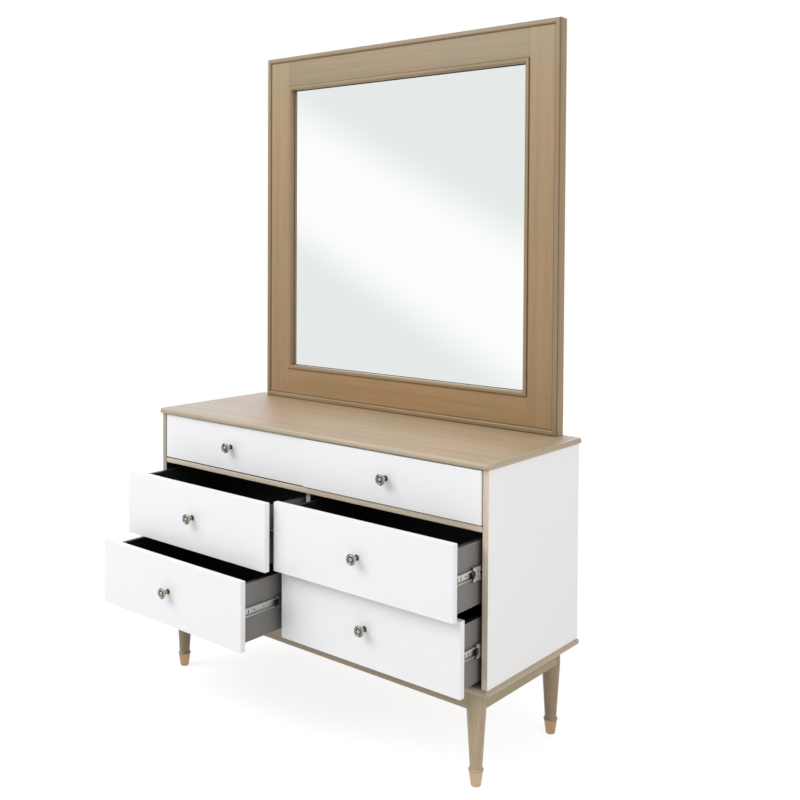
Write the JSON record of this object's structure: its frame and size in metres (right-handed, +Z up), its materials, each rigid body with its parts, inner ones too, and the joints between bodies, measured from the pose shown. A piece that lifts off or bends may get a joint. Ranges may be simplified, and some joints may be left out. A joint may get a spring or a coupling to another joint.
{
  "type": "dressing table",
  "caption": "Chest-height dressing table with rows of drawers on telescopic slides, turned legs with metal tips and a large square framed mirror standing on its back edge.",
  "frame": {"origin": "on the floor, under the middle of the carcass", "axes": "+X to the right seen from the front, +Y to the back, +Z up"},
  "size_m": [1.214, 0.687, 1.893],
  "materials": {
    "washed_wood": "washed taupe, satin lacquer",
    "white_lacquer": "white satin lacquer on board",
    "grey_foil": "grey foil on board",
    "dark_board": "matt black foil on board",
    "back_board": "raw hardboard",
    "batten_wood": "planed softwood",
    "copper_tip": "copper, satin",
    "gunmetal": "dark antique nickel",
    "zinc_steel": "zinc plated",
    "mirror_glass": "silvered glass"
  },
  "bodies": {
    "carcass": {"tabletop": "washed_wood", "bottom_board": "washed_wood", "left_side_panel": "white_lacquer", "right_side_panel": "white_lacquer", "front_edgings": "washed_wood", "drawer_rail": "washed_wood", "centre_divider": "dark_board", "back_rail": "dark_board", "back_panel": "back_board", "long_aprons": "washed_wood", "side_aprons": "washed_wood", "front_legs": "washed_wood", "back_legs": "washed_wood", "foot_tips": "copper_tip", "mirror_stiles": "washed_wood", "mirror_rails": "washed_wood", "mirror_outer_bead": "washed_wood", "mirror_inner_bead": "washed_wood", "mirror_glass": "mirror_glass", "mirror_backing": "back_board", "mirror_supports": "batten_wood", "slide_outer_members": "zinc_steel"},
    "bottom_left_drawer": {"bottom_left_drawer_front": "white_lacquer", "bottom_left_drawer_walls": "grey_foil", "bottom_left_drawer_bottom": "dark_board", "bottom_left_knob": "gunmetal", "bottom_left_slide_inners": "zinc_steel"},
    "bottom_left_slide": {"bottom_left_slide_middles": "zinc_steel"},
    "bottom_right_drawer": {"bottom_right_drawer_front": "white_lacquer", "bottom_right_drawer_walls": "grey_foil", "bottom_right_drawer_bottom": "dark_board", "bottom_right_knob": "gunmetal", "bottom_right_slide_inners": "zinc_steel"},
    "bottom_right_slide": {"bottom_right_slide_middles": "zinc_steel"},
    "middle_left_drawer": {"middle_left_drawer_front": "white_lacquer", "middle_left_drawer_walls": "grey_foil", "middle_left_drawer_bottom": "dark_board", "middle_left_knob": "gunmetal", "middle_left_slide_inners": "zinc_steel"},
    "middle_left_slide": {"middle_left_slide_middles": "zinc_steel"},
    "middle_right_drawer": {"middle_right_drawer_front": "white_lacquer", "middle_right_drawer_walls": "grey_foil", "middle_right_drawer_bottom": "dark_board", "middle_right_knob": "gunmetal", "middle_right_slide_inners": "zinc_steel"},
    "middle_right_slide": {"middle_right_slide_middles": "zinc_steel"},
    "top_left_drawer": {"top_left_drawer_front": "white_lacquer", "top_left_drawer_walls": "grey_foil", "top_left_drawer_bottom": "dark_board", "top_left_knob": "gunmetal", "top_left_slide_inners": "zinc_steel"},
    "top_left_slide": {"top_left_slide_middles": "zinc_steel"},
    "top_right_drawer": {"top_right_drawer_front": "white_lacquer", "top_right_drawer_walls": "grey_foil", "top_right_drawer_bottom": "dark_board", "top_right_knob": "gunmetal", "top_right_slide_inners": "zinc_steel"},
    "top_right_slide": {"top_right_slide_middles": "zinc_steel"}
  },
  "joints": [
    {"name": "bottom_left_drawer_slide", "type": "slide", "parent": "carcass", "child": "bottom_left_drawer", "axis": [0, -1, 0], "range_m": [-0.223, 0.127]},
    {"name": "bottom_left_middle_slide", "type": "slide", "parent": "carcass", "child": "bottom_left_slide", "axis": [0, -1, 0], "range_m": [-0.1115, 0.0635]},
    {"name": "bottom_right_drawer_slide", "type": "slide", "parent": "carcass", "child": "bottom_right_drawer", "axis": [0, -1, 0], "range_m": [-0.082, 0.268]},
    {"name": "bottom_right_middle_slide", "type": "slide", "parent": "carcass", "child": "bottom_right_slide", "axis": [0, -1, 0], "range_m": [-0.041, 0.134]},
    {"name": "middle_left_drawer_slide", "type": "slide", "parent": "carcass", "child": "middle_left_drawer", "axis": [0, -1, 0], "range_m": [-0.14, 0.21]},
    {"name": "middle_left_middle_slide", "type": "slide", "parent": "carcass", "child": "middle_left_slide", "axis": [0, -1, 0], "range_m": [-0.07, 0.105]},
    {"name": "middle_right_drawer_slide", "type": "slide", "parent": "carcass", "child": "middle_right_drawer", "axis": [0, -1, 0], "range_m": [-0.112, 0.238]},
    {"name": "middle_right_middle_slide", "type": "slide", "parent": "carcass", "child": "middle_right_slide", "axis": [0, -1, 0], "range_m": [-0.056, 0.119]},
    {"name": "top_left_drawer_slide", "type": "slide", "parent": "carcass", "child": "top_left_drawer", "axis": [0, -1, 0], "range_m": [0, 0.35]},
    {"name": "top_left_middle_slide", "type": "slide", "parent": "carcass", "child": "top_left_slide", "axis": [0, -1, 0], "range_m": [0, 0.175]},
    {"name": "top_right_drawer_slide", "type": "slide", "parent": "carcass", "child": "top_right_drawer", "axis": [0, -1, 0], "range_m": [-0.005, 0.345]},
    {"name": "top_right_middle_slide", "type": "slide", "parent": "carcass", "child": "top_right_slide", "axis": [0, -1, 0], "range_m": [-0.0025, 0.1725]}
  ],
  "couplings": [
    {"joint": "bottom_left_middle_slide", "follows": "bottom_left_drawer_slide", "ratio": 0.5},
    {"joint": "bottom_right_middle_slide", "follows": "bottom_right_drawer_slide", "ratio": 0.5},
    {"joint": "middle_left_middle_slide", "follows": "middle_left_drawer_slide", "ratio": 0.5},
    {"joint": "middle_right_middle_slide", "follows": "middle_right_drawer_slide", "ratio": 0.5},
    {"joint": "top_left_middle_slide", "follows": "top_left_drawer_slide", "ratio": 0.5},
    {"joint": "top_right_middle_slide", "follows": "top_right_drawer_slide", "ratio": 0.5}
  ]
}
